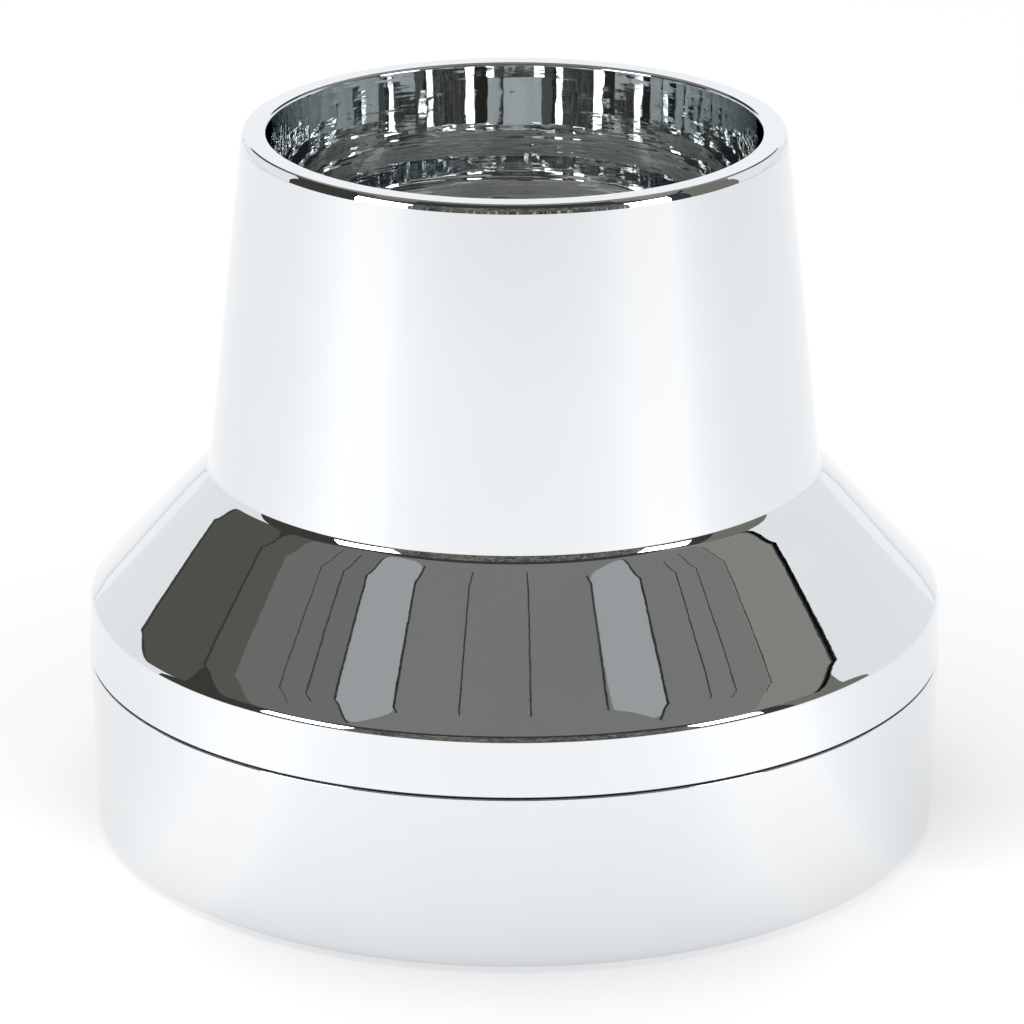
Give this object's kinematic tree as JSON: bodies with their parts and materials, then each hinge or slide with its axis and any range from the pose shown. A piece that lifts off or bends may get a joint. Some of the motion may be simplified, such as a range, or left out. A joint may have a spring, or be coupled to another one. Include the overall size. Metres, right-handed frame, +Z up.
{
  "type": "champagne bucket",
  "caption": "Double-walled champagne bucket with a tapered neck, sloping shoulder, wide base cup and a stepped liner that lifts out.",
  "frame": {"origin": "centre of the base on the surface that the rubber pads stand on", "axes": "+Z up along the bucket's axis; X and Y lie in the table's plane"},
  "size_m": [0.24, 0.24, 0.2006],
  "materials": {
    "shell_chrome": "mirror plated",
    "liner_chrome": "mirror plated, slightly rippled",
    "gasket_rubber": "matt",
    "seal_silicone": "satin",
    "foam": "beaded foam",
    "screw_steel": "zinc plated",
    "pad_rubber": "matt"
  },
  "bodies": {
    "body": {"upper_shell": "shell_chrome", "lower_shell": "shell_chrome", "seam_gasket": "gasket_rubber", "rim_seal": "seal_silicone", "liner_cushion": "seal_silicone", "base_insulation": "foam", "neck_insulation": "foam", "base_screws": "screw_steel", "foot_pads": "pad_rubber"},
    "liner": {"liner": "liner_chrome"}
  },
  "joints": [
    {"name": "liner_lift", "type": "slide", "parent": "body", "child": "liner", "axis": [0, 0, 1], "range_m": [0, 0.2]}
  ]
}
